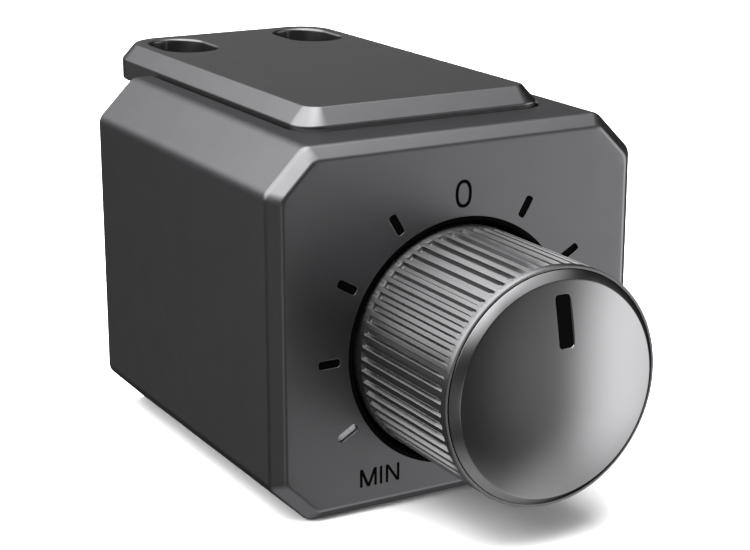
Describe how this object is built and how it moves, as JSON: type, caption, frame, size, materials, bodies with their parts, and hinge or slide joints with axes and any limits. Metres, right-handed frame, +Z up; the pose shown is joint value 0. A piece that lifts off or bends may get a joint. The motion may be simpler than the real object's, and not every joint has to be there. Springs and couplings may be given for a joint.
{
  "type": "brake controller unit",
  "caption": "Under-dash brake controller: chamfered box housing hung from a slotted mounting plate, with a ribbed push-and-turn dial knob on the front",
  "frame": {"origin": "centre of the flat underside of the housing", "axes": "+Z up; +Y from the front face towards the rear, so the knob points along -Y; +X to the right seen from the front"},
  "size_m": [0.04, 0.0717, 0.038],
  "materials": {
    "gunmetal_body": "satin dark gunmetal coat with a very fine grain",
    "plate_coat": "satin dark gunmetal coat",
    "knob_metal": "dark anodised aluminium, satin",
    "cap_metal": "dark anodised aluminium, finely spun",
    "black_plastic": "matt black moulding",
    "grey_plastic": "fine textured dark grey moulding",
    "pale_lens": "pale translucent grey light pipe",
    "steel": "zinc plated steel",
    "brass": "plain brass, lightly tinned",
    "rubber": "soft black seal",
    "board_laminate": "green solder mask on glass laminate",
    "phenolic": "brown phenolic sheet",
    "chip_epoxy": "black moulded epoxy",
    "can_aluminium": "plain rolled can"
  },
  "bodies": {
    "housing_body": {"housing": "gunmetal_body", "rear_cover": "grey_plastic", "rear_gasket": "rubber", "mounting_plate": "plate_coat", "well_liner": "black_plastic", "pot_bushing": "brass", "bushing_nut": "brass", "lock_washer": "steel", "pot_case": "steel", "pot_wafer": "phenolic", "switch_case": "black_plastic", "return_spring": "steel", "status_light_pipe": "pale_lens", "status_led": "pale_lens", "main_board": "board_laminate", "connector_socket": "black_plastic", "mcu_chip": "chip_epoxy", "accelerometer_chip": "chip_epoxy", "power_transistor": "chip_epoxy", "flyback_diode": "chip_epoxy", "capacitor_large": "can_aluminium", "capacitor_small": "can_aluminium", "pot_terminal_1": "brass", "pot_terminal_2": "brass", "pot_terminal_3": "brass", "dial_mark_1": "black_plastic", "dial_mark_2": "black_plastic", "dial_mark_3": "black_plastic", "dial_mark_4": "black_plastic", "dial_mark_5": "black_plastic", "dial_mark_6": "black_plastic", "dial_mark_7": "black_plastic", "connector_pin_1": "brass", "cover_screw_1": "steel", "board_screw_1": "steel", "plate_screw_1": "steel", "connector_pin_2": "brass", "cover_screw_2": "steel", "board_screw_2": "steel", "plate_screw_2": "steel", "connector_pin_3": "brass", "cover_screw_3": "steel", "board_screw_3": "steel", "plate_screw_3": "steel", "connector_pin_4": "brass", "cover_screw_4": "steel", "board_screw_4": "steel", "plate_screw_4": "steel"},
    "push_plunger": {"switch_plunger": "grey_plastic"},
    "knob": {"knob_skirt": "knob_metal", "knob_cap": "cap_metal", "pointer_inlay": "black_plastic", "shaft_clip": "steel", "knob_shaft": "steel", "retaining_ring": "steel"},
    "wiper": {"wiper_rotor": "black_plastic", "wiper_contact": "brass"}
  },
  "joints": [
    {"name": "knob_push", "type": "slide", "parent": "housing_body", "child": "push_plunger", "axis": [0, 1, 0], "range_m": [0, 0.0015], "stiffness_N_per_m": 800, "springref_m": -0.0015, "deforming": ["return_spring"]},
    {"name": "knob_turn", "type": "hinge", "parent": "push_plunger", "child": "knob", "pos_m": [0, 0, 0.0156], "axis": [0, 1, 0], "range_deg": [-150, 150]},
    {"name": "wiper_turn", "type": "hinge", "parent": "housing_body", "child": "wiper", "pos_m": [0, 0, 0.0156], "axis": [0, 1, 0], "range_deg": [-150, 150]}
  ],
  "couplings": [
    {"joint": "wiper_turn", "follows": "knob_turn", "ratio": 1}
  ]
}
